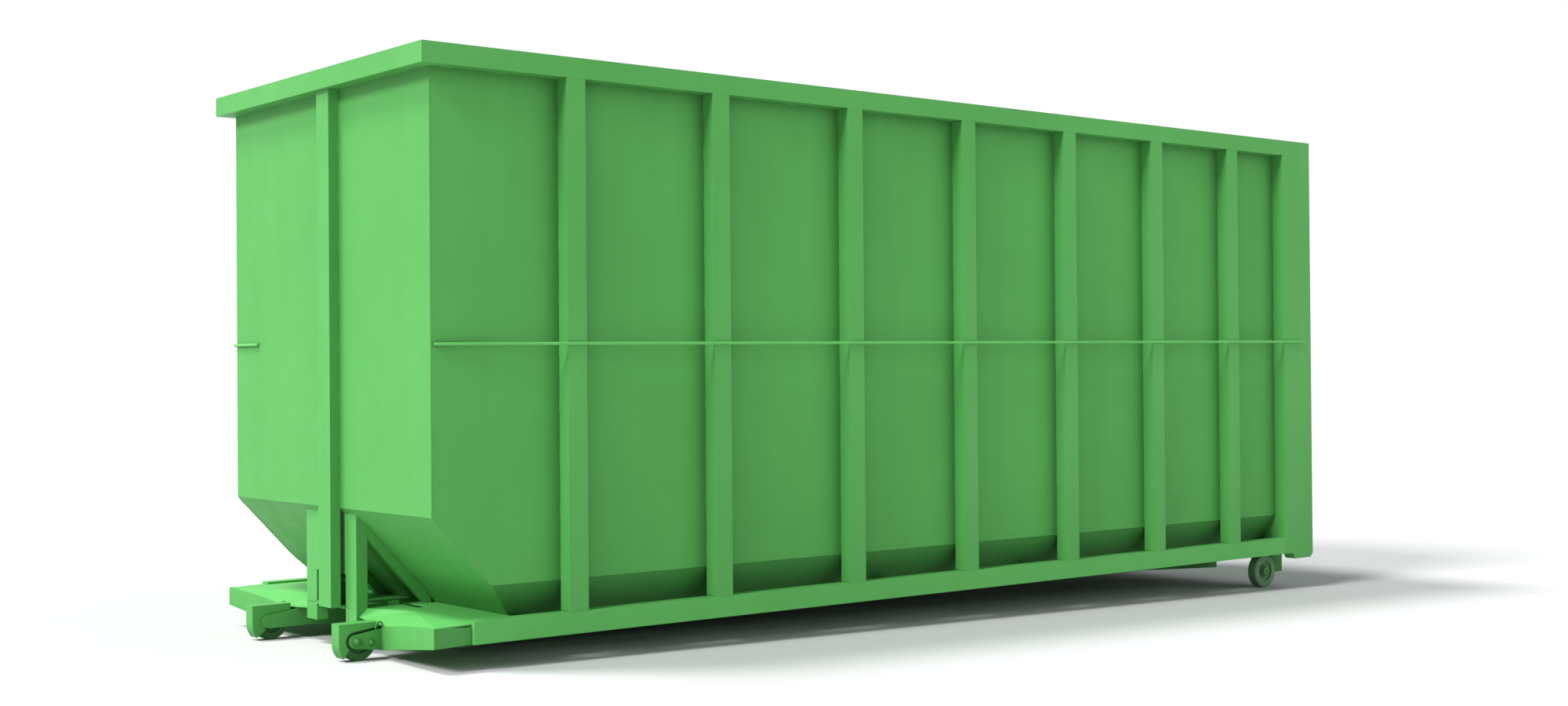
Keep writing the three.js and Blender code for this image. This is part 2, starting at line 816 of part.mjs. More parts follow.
// Roller arms: two plates with round ends that carry the axle; the inner one runs back along the sill
function rollerArm() {
  const nose = [roller_y - arm_nose.ahead, roller_z + arm_nose.up];
  const round_end = arc(nose, arm_end_radius, 90, 270, round_steps);
  const deck_low = floor_top - deck_thickness - seat;
  const front_low = skirt_inner_high - deck_thickness - seat;
  const arm_top_front = deck_front + skirt_thickness;
  const outer = [
    ...round_end,
    [skirt_inner_y, skirt_inner_low],
    [arm_rear, skirt_inner_low],
    [arm_rear, deck_low],
    [arm_top_front, front_low],
  ];
  const sill_low = sill_top - seat;
  const cross_front = cross_first - seat;
  const inner = [
    ...round_end,
    [skirt_inner_y, inner_arm_low],
    [inner_arm_rear, inner_arm_low],
    [inner_arm_rear, sill_low],
    [cross_front, sill_low],
    [cross_front, deck_low],
    [deck_fold_y, deck_low],
    [arm_top_front, front_low],
  ];
  const axle = disc([roller_y, roller_z], axle_radius, bore_facets);
  const front_bolt = disc(nose, arm_bolts.front_radius, bore_facets);
  const rear_bolt = disc([roller_y + arm_bolts.back, roller_z], arm_bolts.rear_radius, bore_facets);
  return join(
    alongX(outer, arm_inner_x, arm_outer_x),
    alongX(inner, inner_arm_x, inner_arm_x + arm_thickness),
    alongX(axle, inner_arm_x, arm_outer_x),
    alongX(front_bolt, arm_inner_x, arm_outer_x + arm_bolts.height),
    alongX(rear_bolt, arm_inner_x, arm_outer_x + arm_bolts.height),
  );
}

// Wheel turned about X: tread with chamfers, recessed web and hub with a bore
function wheel(radius, width, bore) {
  const half = width / 2;
  const rim = radius * rim_share;
  const hub = radius * hub_share;
  const web = half - width * web_recess_share;
  const chamfer = radius * tread_chamfer_share;
  const side = [
    [bore, half], [hub, half], [hub, web], [rim, web], [rim, half], [radius - chamfer, half], [radius, half - chamfer],
  ];
  const back = side.map(([r, h]) => [r, -h]).reverse();
  const profile = [...side, ...back, side[0]].reverse().map(([r, h]) => new THREE.Vector2(r, h));
  const turned = new THREE.LatheGeometry(profile, wheel_facets).rotateZ(-Math.PI / 2);
  return turned.rotateX(Math.PI / wheel_facets);
}

// Rear wheel bracket: hanger plate with a stub axle and cap, and a stop block under the rear sill
function wheelBracket() {
  const inner_x = wheel_outer_x - wheel_width - running_gap;
  const x0 = inner_x - bracket_thickness;
  const top = sill_top - seat;
  const y0 = wheel_y - bracket_half_length;
  const block_y = wheel_y + wheel_radius + stop_block.gap;
  const block_x = wheel_outer_x - stop_block.inset;
  const hanger = [
    [y0, top],
    ...arc([wheel_y, wheel_z], stub_radius * 2, 180, 360, round_steps),
    [block_y + stop_block.wall, -seat - stop_block.drop],
    [block_y + stop_block.wall, -seat],
    [rear_sill_front - seat, -seat],
    [rear_sill_front - seat, top],
  ];
  const cap_x = wheel_outer_x + running_gap;
  const stub = disc([wheel_y, wheel_z], stub_radius, bore_facets);
  const cap = disc([wheel_y, wheel_z], stub_radius * 3 / 2, bore_facets);
  const head = box(x0, wheel_outer_x, y0, wheel_y + bracket_half_length, top - bracket_thickness, top);
  const w = stop_block.wall;
  const block = cut(
    box(x0, block_x, block_y, rear_face - w, -seat - stop_block.drop, -seat),
    box(x0 + w, block_x - w, block_y + w, rear_face - 2 * w, -stop_block.drop - overrun, -seat - w),
  );
  return join(
    alongX(hanger, x0, inner_x),
    head,
    alongX(stub, x0 + seat, cap_x + stub_radius / 4),
    alongX(cap, cap_x, cap_x + stub_radius / 2),
    block,
  );
}

// Rear door: a welded frame of channels with cross ribs, knuckles and bar guides, and its sheet inside
const door_reach = half_width - top_rail_depth - door_gap;
const door_sheet_y = door_front;
const door_frame_y = door_front + door_sheet_thickness + seat;

// Channel of the door, drawn as its block and as the hollow that is open towards the sheet
function doorBar(x0, x1, z0, z1) {
  const w = door_wall;
  return {
    block: box(x0, x1, door_frame_y, rear_face, z0, z1),
    hollow: box(x0 + w, x1 - w, door_frame_y - overrun, rear_face - w, z0 + w, z1 - w),
  };
}

function hingeKnuckle(share) {
  const middle = hingeHeight(share);
  const z0 = middle - knuckle_height / 2;
  const z1 = middle + knuckle_height / 2;
  const strap_front = rear_face + seat * 2;
  const strap_end = door_reach - hinge_strap_length;
  const strap = box(-hinge_x, -strap_end, strap_front, strap_front + hinge_strap_thickness, z0, z1);
  const seat_pad = box(-door_reach, -strap_end, rear_face - rail_wall / 2, strap_front + rail_wall, z0, z1);
  const barrel = alongZ(disc([-hinge_x, hinge_y], knuckle_radius, bore_facets), z0, z1);
  return [strap, seat_pad, barrel];
}

function barGuide(share) {
  const z0 = latchHeight(share);
  const z1 = z0 + guide_height;
  const centre = [latch_bar_x, rear_face + latch_bar_reach];
  const ring = alongZ(disc(centre, guide_radius, bore_facets), z0, z1);
  const foot = box(latch_bar_x - guide_radius, latch_bar_x + guide_radius, rear_face - rail_wall / 2, centre[1], z0, z1);
  return [ring, foot];
}

function leverPivot() {
  const y1 = rear_face + lever_offset + lever_thickness + hinge_gap * 2;
  const centre = [latch_bar_x - lever_pivot_back, lever_pivot_z];
  const boss = disc(centre, lever_pivot_radius * 2, bore_facets);
  const pin = disc(centre, lever_pivot_radius, bore_facets);
  const head = disc(centre, lever_pivot_radius * 3 / 2, bore_facets);
  return [
    alongY(boss, rear_face - rail_wall / 2, rear_face + lever_offset - hinge_gap),
    alongY(pin, rear_face, y1),
    alongY(head, y1 - hinge_gap, y1 + lever_thickness / 2),
  ];
}

function doorFrame() {
  const height = door_high - door_low;
  const rib_half = door_rib_height / 2;
  const bars = [
    doorBar(-door_reach, door_reach, door_low, door_low + door_tube),
    doorBar(-door_reach, door_reach, door_high - door_tube, door_high),
    doorBar(-door_reach, -door_reach + door_tube, door_low, door_high),
    doorBar(door_reach - door_tube, door_reach, door_low, door_high),
    ...door_rib_shares.map((share) => door_low + share * height)
      .map((z) => doorBar(-door_reach, door_reach, z - rib_half, z + rib_half)),
  ];
  const channels = cut(join(...bars.map((bar) => bar.block)), ...bars.map((bar) => bar.hollow));
  const fittings = [
    ...door_rib_shares.flatMap(hingeKnuckle),
    ...guide_station_shares.flatMap(barGuide),
    ...leverPivot(),
  ];
  const bar_bore = alongZ(disc([latch_bar_x, rear_face + latch_bar_reach], latch_bar_radius + running_gap, bore_facets),
    -overrun, body_height + overrun);
  const pin_bore = alongZ(disc([-hinge_x, hinge_y], hinge_rod_radius + running_gap, bore_facets),
    -overrun, body_height + overrun);
  return cut(join(channels, ...fittings), bar_bore, pin_bore);
}

function doorParts() {
  add('door_frame', doorFrame());
  const reach = door_reach;
  add('door_sheet', box(-reach, reach, door_sheet_y, door_sheet_y + door_sheet_thickness, door_low, door_high));
  const rod_low = hingeHeight(door_rib_shares[0]) - knuckle_height;
  const rod_high = hingeHeight(door_rib_shares.at(-1)) + knuckle_height;
  const rod = disc([-hinge_x, hinge_y], hinge_rod_radius, bore_facets);
  const head = disc([-hinge_x, hinge_y], knuckle_radius * 2 / 3, bore_facets);
  const lug_top = hingeHeight(door_rib_shares.at(-1)) + knuckle_height / 2 + hinge_gap + lug_height;
  add('hinge_rod', join(
    alongZ(rod, rod_low - lug_height, Math.max(rod_high, lug_top + hinge_gap)),
    alongZ(head, lug_top + seat, lug_top + hinge_rod_radius),
  ), bar_steel);
}

// Latch bar: round bar with three flat fingers, each with a tip that drops into its pocket,
// and a lug that the nose of the lever lifts
function latchBar() {
  const y = rear_face + latch_bar_reach;
  const bar = alongZ(disc([latch_bar_x, y], latch_bar_radius, bore_facets), latch_bar_low - guide_height,
    latch_bar_high + guide_height);
  const y0 = y - finger_thickness / 2;
  const fingers = finger_station_shares.flatMap((share) => {
    const z0 = latchHeight(share) - finger_height / 2;
    const arm = box(latch_bar_x, finger_end_x, y0, y0 + finger_thickness, z0, z0 + finger_height);
    const tip = box(finger_end_x - finger_tip_length, finger_end_x, y0, y0 + finger_thickness,
      z0 - finger_tip_drop, z0 + finger_height / 2);
    return [arm, tip];
  });
  const lug_low = lever_pivot_z + latch_travel / 2 + lever_nose_radius + lever_lift_gap;
  const lug = box(latch_bar_x - lift_lug.back, latch_bar_x + lift_lug.front, y,
    rear_face + lever_offset + lever_thickness, lug_low, lug_low + lift_lug.height);
  return join(bar, ...fingers, lug);
}

// Latch lever: flat bar on the pivot, its round nose under the lug of the bar and its long end with a grip
function latchLever() {
  const y0 = rear_face + lever_offset;
  const half = lever_height / 2;
  const neck = lever_nose_radius * 2 / 3;
  const bar = [
    [-lever_length, -half], [0, -half], [lever_nose_reach, -neck],
    [lever_nose_reach, neck], [0, half], [-lever_length, half],
  ];
  const nose = alongY(disc([lever_nose_reach, 0], lever_nose_radius, bore_facets), 0, lever_thickness);
  const flat = alongY(bar, 0, lever_thickness);
  const eye = alongY(disc([0, 0], lever_pivot_radius * 2, bore_facets), 0, lever_thickness);
  const bore = alongY(disc([0, 0], lever_pivot_radius + running_gap, bore_facets), -overrun, lever_thickness + overrun);
  const grip = alongX(disc([lever_thickness / 2, 0], lever_grip_radius, bore_facets),
    -lever_length - lever_grip_length, -lever_length + half);
  const lever = cut(join(flat, eye, nose, grip), bore);
  lever.rotateY(-lever_rest);
  lever.translate(latch_bar_x - lever_pivot_back, y0, lever_pivot_z);
  return lever;
}

add('floor_sheet', floorSheet(), shaded_paint);
addPair('side_sheet', sideSheet());
add('front_sheet', frontSheet());
addPair('top_rail', topSideRail());
add('top_rail_front', topFrontRail());
addPair('bottom_rail', bottomRail());
rib_station_shares.forEach((station, i) => addPair(`rib_${i + 1}`, rib(station)));
tieRods();
add('front_post', frontPost());
rearPosts();
add('rear_sill', rearSill());
addPair('long_sill', longSill(), shaded_paint);
for (let i = 0; i < cross_count; i += 1) {
  add(`cross_member_${i + 1}`, crossMember(i), shaded_paint);
}
addPair('nose_skirt', noseSkirt());
addPair('nose_deck', noseDeck());
addPair('nose_strut', noseStrut());
add('pull_frame', pullFrame(), shaded_paint);
addPair('roller_guard', rollerGuard());
addPair('roller_arm', rollerArm());
addPair('wheel_bracket', wheelBracket());

function addWheels(name, radius, width, bore, x, y, z, turn) {
  [['left', 1], ['right', -1]].forEach(([side, sign]) => {
    const mesh = add(`${name}_${side}`, wheel(radius, width, bore), wheel_steel);
    mesh.position.set(sign * x, y, z);
    mesh.rotation.x = turn;
  });
}

// Stance: the angle at which the common tangent under rollers and wheels lies level
const wheelbase = wheel_y - roller_y;
const wheel_drop = wheel_z - roller_z;
const spread = Math.hypot(wheelbase, wheel_drop);
const stance = Math.asin((wheel_radius - roller_radius) / spread) - Math.atan2(wheel_drop, wheelbase);

addWheels('nose_roller', roller_radius, roller_width, axle_radius + running_gap,
  roller_inner_x + roller_width / 2, roller_y, roller_z, -stance);
addWheels('rear_wheel', wheel_radius, wheel_width, stub_radius + running_gap,
  wheel_outer_x - wheel_width / 2, wheel_y, wheel_z, -stance);

doorParts();
add('latch_bar', latchBar(), bar_steel);
add('latch_lever', latchLever(), bar_steel);

// Turn the level body to its stance and stand it on the ground, centred under its own box
container.rotation.x = stance;
container.updateMatrixWorld(true);
const extent = new THREE.Box3().setFromObject(container, true);
container.position.set(0, -(extent.min.y + extent.max.y) / 2, -extent.min.z);

const group = new THREE.Group();
group.add(container);
export default group;
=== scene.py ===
"""Open-top roll-off container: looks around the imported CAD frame."""
import math

import bmesh
import bpy
from mathutils import Matrix, Vector


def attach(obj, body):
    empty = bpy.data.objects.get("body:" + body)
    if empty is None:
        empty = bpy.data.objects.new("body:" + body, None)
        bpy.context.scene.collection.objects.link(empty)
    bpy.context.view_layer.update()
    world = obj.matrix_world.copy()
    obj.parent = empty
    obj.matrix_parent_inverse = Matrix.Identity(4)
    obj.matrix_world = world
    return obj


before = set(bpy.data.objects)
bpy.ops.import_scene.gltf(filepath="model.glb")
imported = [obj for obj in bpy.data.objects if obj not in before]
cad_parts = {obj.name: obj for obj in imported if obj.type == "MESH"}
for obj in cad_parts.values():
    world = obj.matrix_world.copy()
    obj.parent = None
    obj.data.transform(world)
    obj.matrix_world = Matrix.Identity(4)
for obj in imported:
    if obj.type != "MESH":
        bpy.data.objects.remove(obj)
scene = bpy.context.scene
scene.view_settings.view_transform = "Standard"
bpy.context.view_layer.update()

# The body is drawn level in millimetres and then turned to its stance
STANCE = 0.01978209
SHIFT_Y = -3.2983829
SHIFT_Z = 0.1231412
LEVEL = Matrix.Translation((0, SHIFT_Y, SHIFT_Z)) @ Matrix.Rotation(STANCE, 4, "X") @ Matrix.Scale(0.001, 4)

# Sizes shared with the frame, in millimetres: x from the middle to the left, y from the front sheet to the rear,
# z up from the low edge of the bottom rails
HALF = 1219.0
WALL = 1134.0
LENGTH = 6735.0
HEIGHT = 2843.0
RAIL_UNDER = 2741.0
RAIL_DEPTH = 102.0
FRONT_REACH = 80.0
LOW_RAIL_TOP = 110.0
TUB_FLOOR = 98.0
FOLD = 605.0
SLOPE_RUN = 466.0
TAPER_TOP = 263.0
TAPER_RUN = 105.0
RIB_Y = [share * LENGTH for share in (0.1126, 0.2445, 0.3816, 0.5114, 0.6393, 0.7599, 0.8738)]
RIB_HALF = 54.0
REAR_POST = 305.0
POST_X, POST_HALF, POST_DEPTH = 95.0, 70.0, 54.0
STRUT_IN, STRUT_OUT, STRUT_FOOT, STRUT_Y = 45.0, 291.0, 170.0, 25.0
ROD_REAR = 1458.0
ROD_FRONT = {1: 1426.0, -1: 1452.0}
SIDES = (1, -1)

# Camera: place in the level frame, turn in degrees, and focal length in pixels of its picture
EYE = (9270.87, -4293.71, 1290.61)
YAW, PITCH, ROLL = math.radians(49.39), math.radians(0.49), math.radians(-0.46)
FOCAL_PIXELS, PICTURE_PIXELS = 2427.57, 2000
SENSOR = 36
forward = Vector((-math.sin(YAW) * math.cos(PITCH), math.cos(YAW) * math.cos(PITCH), math.sin(PITCH)))
right = Vector((math.cos(YAW), math.sin(YAW), 0))
up = right.cross(forward)
right_rolled = right * math.cos(ROLL) + up * math.sin(ROLL)
up_rolled = up * math.cos(ROLL) - right * math.sin(ROLL)
turn = Matrix.Rotation(STANCE, 3, "X")
axes = Matrix([turn @ right_rolled, turn @ up_rolled, -(turn @ forward)]).transposed().to_4x4()
camera_data = bpy.data.cameras.new("camera")
camera_data.sensor_width = SENSOR
camera_data.lens = FOCAL_PIXELS / PICTURE_PIXELS * SENSOR
camera_data.shift_x = -0.05
camera = bpy.data.objects.new("camera", camera_data)
scene.collection.objects.link(camera)
camera.matrix_world = Matrix.Translation(LEVEL @ Vector(EYE)) @ axes
scene.camera = camera


# Materials
def linear(r, g, b):
    """Linear colour from values of 0 to 255."""
    def one(v):
        v = v / 255
        return v / 12.92 if v <= 0.04045 else ((v + 0.055) / 1.055) ** 2.4
    return (one(r), one(g), one(b), 1)


def darker(colour, share):
    return (*(channel * share for channel in colour[:3]), 1)


SPECK_COLOUR = linear(70, 62, 50)
GLOSS = 0.16
# the first darkens the faint runs; the second sets how dark painted shade makes the dark paint, in corners and on
# faces along one axis
RUN_TONE, SHADE_TONE = 0.9, 0.4
# how far the painted corner shade reaches from an inside corner, in metres
CORNER_SHADE_REACH = 0.2
PEEL_DEPTH, DENT_DEPTH = 0.002, 0.03
# Noise patterns: scale, detail and stretch
CLOUDS, RUNS, SPECKS = (0.9, 3), (1.0, 5, (6, 6, 0.35)), (38, 6)
MATTNESS, PEEL, DENTS = (7, 4), (60, 3), (1.4, 1)


# corners sets the strength of the painted shade in inside corners
def paint(name, colour, dark, rough=0.5, mottle=0.5, wear=0.0, bump=0.2, metal=0.0, waves=0.0, facing_shade=None,
          corners=0.5):
    """Sprayed paint over steel: soft cloudy tone, faint runs down the plate, fine orange peel and worn specks, with
    painted shade in the inside corners and, where asked, on the faces that look along one axis.
    """
    mat = bpy.data.materials.new(name)
    mat.use_nodes = True
    nodes, links = mat.node_tree.nodes, mat.node_tree.links
    shader = nodes["Principled BSDF"]
    shader.inputs["Metallic"].default_value = metal
    shader.inputs["Specular IOR Level"].default_value = GLOSS
    place = nodes.new("ShaderNodeTexCoord")

    def noise(scale, detail, stretch=(1, 1, 1)):
        mapping = nodes.new("ShaderNodeMapping")
        mapping.inputs["Scale"].default_value = stretch
        tex = nodes.new("ShaderNodeTexNoise")
        tex.inputs["Scale"].default_value = scale
        tex.inputs["Detail"].default_value = detail
        links.new(place.outputs["Object"], mapping.inputs["Vector"])
        links.new(mapping.outputs["Vector"], tex.inputs["Vector"])
        return tex.outputs["Fac"]

    def ramp(source, low, high, a, b):
        """Spreads the source's range from low to high over a to b."""
        node = nodes.new("ShaderNodeMapRange")
        for socket, value in (("From Min", low), ("From Max", high), ("To Min", a), ("To Max", b)):
            node.inputs[socket].default_value = value
        links.new(source, node.inputs["Value"])
        return node.outputs["Result"]

    def mix(factor, a, b):
        node = nodes.new("ShaderNodeMix")
        node.data_type = "RGBA"
        links.new(factor, node.inputs["Factor"])
        for value, socket in ((a, node.inputs["A"]), (b, node.inputs["B"])):
            if isinstance(value, tuple):
                socket.default_value = value
            else:
                links.new(value, socket)
        return node.outputs["Result"]

    def relief(strength, depth, height):
        node = nodes.new("ShaderNodeBump")
        node.inputs["Strength"].default_value = strength
        node.inputs["Distance"].default_value = depth
        links.new(height, node.inputs["Height"])
        return node

    cloud = ramp(noise(*CLOUDS), 0.35, 0.65, 0.0, mottle)
    runs = ramp(noise(*RUNS), 0.45, 0.75, 0.0, mottle * 0.5)
    tone = mix(cloud, colour, dark)
    tone = mix(runs, tone, darker(dark, RUN_TONE))
    if wear:
        tone = mix(ramp(noise(*SPECKS), 0.66, 0.72, 0.0, wear), tone, SPECK_COLOUR)
    # painted shade: the paint turns darker in the inside corners, where ambient occlusion finds them
    painted_corner_shade = nodes.new("ShaderNodeAmbientOcclusion")
    painted_corner_shade.samples = 8
    painted_corner_shade.inputs["Distance"].default_value = CORNER_SHADE_REACH
    tone = mix(ramp(painted_corner_shade.outputs["AO"], 0.4, 0.95, corners, 0.0), tone, darker(dark, SHADE_TONE))
    if facing_shade:
        # painted shade on the faces that look along one axis: outwards both ways along X, one way along Z
        axis, low, high, amount = facing_shade
        facing = nodes.new("ShaderNodeSeparateXYZ")
        links.new(nodes.new("ShaderNodeNewGeometry").outputs["Normal"], facing.inputs["Vector"])
        look = facing.outputs[axis]
        if axis == "X":
            both_ways = nodes.new("ShaderNodeMath")
            both_ways.operation = "ABSOLUTE"
            links.new(look, both_ways.inputs[0])
            look = both_ways.outputs["Value"]
        tone = mix(ramp(look, low, high, 0.0, amount), tone, darker(dark, SHADE_TONE))
    links.new(tone, shader.inputs["Base Color"])
    links.new(ramp(noise(*MATTNESS), 0.3, 0.7, rough - 0.06, rough + 0.1), shader.inputs["Roughness"])
    peel = relief(bump, PEEL_DEPTH, noise(*PEEL))
    if waves:
        dents = relief(waves, DENT_DEPTH, noise(*DENTS))
        links.new(dents.outputs["Normal"], peel.inputs["Normal"])
    links.new(peel.outputs["Normal"], shader.inputs["Normal"])
    return mat


GREEN = linear(89, 170, 86)
GREEN_DARK = linear(83, 161, 80)
body_paint = paint("body_paint", GREEN, GREEN_DARK, waves=0.25)
# side sheets: painted shade on the faces that look down (the taper strip) and stronger painted shade in the corners
side_paint_shaded = paint("side_paint_shaded", GREEN, GREEN_DARK, waves=0.25, facing_shade=("Z", -0.15, -0.45, 0.46), corners=0.72)
# nose skirt: painted shade on its outward faces along X
skirt_paint_shaded = paint("skirt_paint_shaded", GREEN, GREEN_DARK, waves=0.25, facing_shade=("X", 0.75, 0.97, 0.42))
# deck: a lighter green than the body paint, painted light for the bright top of the deck, with little painted
# corner shade
deck_paint_lit = paint("deck_paint_lit", linear(98, 184, 96), GREEN, corners=0.1)
tube_paint = paint("tube_paint", linear(92, 173, 90), GREEN_DARK, rough=0.45, corners=0.1)
# bottom rails: a lighter green than the tubes, painted light that makes up for the light they lack near the shaded
# ground
rail_paint_lit = paint("rail_paint_lit", linear(97, 182, 95), GREEN, rough=0.45, corners=0.1)
under_paint = paint("under_paint", linear(76, 148, 74), linear(64, 126, 62), rough=0.6, wear=0.25)
inside_paint = paint("inside_paint", linear(82, 158, 79), linear(72, 140, 69), rough=0.6, mottle=0.8, wear=0.5,
                     waves=0.3)
# rear wheels: a pale grey-green of their own, lightened further as painted light against the shade they sit in
wheel_paint_lightened = paint("wheel_paint_lightened", linear(126, 172, 126), linear(92, 128, 92), wear=0.4)
roller_paint = paint("roller_paint", linear(68, 130, 68), linear(52, 102, 52), wear=0.25)
# tie rods: a lighter green than the body, a painted highlight along the rod, with no painted corner shade
rod_paint_highlit = paint("rod_paint_highlit", linear(106, 194, 103), GREEN, rough=0.4, corners=0.0)
bar_paint = paint("bar_paint", linear(84, 152, 80), linear(68, 124, 64), rough=0.45, wear=0.4, metal=0.2)
weld_paint = paint("weld_paint", linear(94, 176, 91), GREEN_DARK, rough=0.35, bump=0.4)
bolt_paint = paint("bolt_paint", linear(92, 168, 88), linear(70, 124, 66), rough=0.4, wear=0.35)

# The paint of each piece by the start of its name; the rest has the body's
PAINTS = (
    (("rear_wheel",), wheel_paint_lightened),
    (("nose_roller",), roller_paint),
    (("hinge_rod", "latch_bar", "latch_lever"), bar_paint),
    (("floor_sheet",), inside_paint),
    (("long_sill", "cross_member", "pull_frame", "rear_sill", "wheel_bracket"), under_paint),
    (("bottom_rail",), rail_paint_lit),
    (("tie_rod",), rod_paint_highlit),
    (("rib_", "top_rail", "front_post", "rear_post", "nose_strut", "door_frame"), tube_paint),
    (("side_sheet",), side_paint_shaded),
    (("nose_skirt",), skirt_paint_shaded),
    (("nose_deck",), deck_paint_lit),
)
# The width of the soft edges that rolled tube and cut plate have, in metres
EDGES = (
    (("rib_", "top_rail", "bottom_rail", "rear_post"), 0.0024),
    (("front_post", "nose_strut", "nose_skirt", "roller_guard", "roller_arm", "wheel_bracket", "long_sill"), 0.002),
    (("nose_deck", "pull_frame", "rear_sill", "door_frame", "latch", "nose_roller", "rear_wheel"), 0.0016),
)
for name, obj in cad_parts.items():
    chosen = [mat for starts, mat in PAINTS if name.startswith(starts)] or [body_paint]
    for s in obj.material_slots:
        s.material = chosen[0]
    for starts, width in EDGES:
        if name.startswith(starts):
            edge = obj.modifiers.new("edge", "BEVEL")
            edge.width = width
            edge.segments = 2
            edge.limit_method = "ANGLE"
            edge.angle_limit = math.radians(50)


def across(axis):
    """Two directions square to the axis and to each other."""
    a = axis.orthogonal().normalized()
    return a, axis.cross(a)


class Pieces:
    """Detail pieces, gathered in one mesh for each body and finish."""

    def __init__(self, name, body, material):
        self.mesh, self.name, self.body, self.material = bmesh.new(), name, body, material

    def ring(self, centre, a, b, radius, sides, turn=0.0):
        spin = [turn + 2 * math.pi * k / sides for k in range(sides)]
        return [self.mesh.verts.new(centre + a * radius * math.cos(t) + b * radius * math.sin(t)) for t in spin]

    def skin(self, rings):
        """A closed skin over the rings."""
        count = len(rings[0])
        for low, high in zip(rings, rings[1:]):
            for k in range(count):
                self.mesh.faces.new((low[k], low[(k + 1) % count], high[(k + 1) % count], high[k]))
        self.mesh.faces.new(rings[0][::-1])
        self.mesh.faces.new(rings[-1])

    def turned(self, start, axis, profile, sides, turn=0.0):
        """A turned or many-sided piece: profile is a list of (distance along the axis, radius)."""
        axis = Vector(axis)
        self.skin([self.ring(Vector(start) + axis * d, *across(axis), r, sides, turn) for d, r in profile])

    def bead(self, start, end, radius, pitch=13.0):
        """A weld bead: a rounded run whose width and height ripple along it, with tapered ends."""
        start, end = Vector(start), Vector(end)
        a, b = across((end - start).normalized())
        steps = max(4, int((end - start).length / pitch))
        rings = []
        for i in range(steps + 1):
            swell = radius * (0.86 + 0.14 * math.sin(i * 2.1 + start.x * 0.01) + 0.08 * math.sin(i * 0.7))
            if i in (0, steps):
                swell *= 0.35
            rings.append(self.ring(start.lerp(end, i / steps), a, b, swell, 6))
        self.skin(rings)

    def stitches(self, start, end, radius, length, gap):
        """Short beads with gaps between them, as long seams of thin sheet are welded."""
        start, end = Vector(start), Vector(end)
        total = (end - start).length
        count = max(1, round((total + gap) / (length + gap)))
        step = (total - length) / max(1, count - 1)
        for i in range(count):
            a = start.lerp(end, i * step / total)
            b = start.lerp(end, (i * step + length) / total)
            self.bead(a, b, radius)

    def rod(self, points, radius, sides=12):
        """A round bar bent along the points, which lie in a plane square to X."""
        points = [Vector(p) for p in points]
        rings = []
        for i, point in enumerate(points):
            axis = (points[min(i + 1, len(points) - 1)] - points[max(i - 1, 0)]).normalized()
            a = Vector((1, 0, 0))
            rings.append(self.ring(point, a, axis.cross(a), radius, sides))
        self.skin(rings)

    def finish(self):
        bmesh.ops.recalc_face_normals(self.mesh, faces=self.mesh.faces)
        for face in self.mesh.faces:
            face.smooth = len(face.verts) == 4
        data = bpy.data.meshes.new(self.name)
        self.mesh.to_mesh(data)
        self.mesh.free()
        data.transform(LEVEL)
        data.materials.append(self.material)
        obj = bpy.data.objects.new(self.name, data)
        scene.collection.objects.link(obj)
        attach(obj, self.body)


def slope_y(z):
    return (FOLD - z) * SLOPE_RUN / (FOLD - TUB_FLOOR)


def taper_x(z):
    return WALL - (TAPER_TOP - z) * TAPER_RUN / (TAPER_TOP - TUB_FLOOR)


# Stitched seams: radius and length of the beads, and the gap between them
RIB_SEAM = (3.4, 70, 190)
RAIL_SEAM = (3.0, 90, 210)
BRACE_SEAM = (3.6, 60, 70)
REAR_POST_SEAM = (3.4, 80, 170)
FRONT_POST_SEAM = (3.4, 70, 180)
FRONT_SEAM = (3.0, 90, 200)
DOOR_RIB_SEAM = (3.2, 80, 170)
DOOR_SHEET_SEAM = (3.2, 80, 150)

# Places of the short welds of the nose
STRUT_EDGE_FRONT, STRUT_EDGE_REAR = (STRUT_Y + 1, 576), (84, 513)
STRUT_HEAD, STRUT_SOLE = 577, 99.5
BRACE_EDGES, BRACE_HIGH, BRACE_LOW = (242, 290), 500, 128
ARM_X, ARM_Y, ARM_HIGH, ARM_LOW = 571.5, 26, 36, -70
SKIRT_X, SKIRT_Y, SKIRT_HIGH, SKIRT_LOW = HALF - 22, 168, 78, 4

# Tacks of the tie rods: distance from the middle, from each rib's centre line and under the rod, and half length
TACK_X, TACK_EDGE, TACK_DROP, TACK_HALF = HALF + 1.5, 34, 6.5, 9

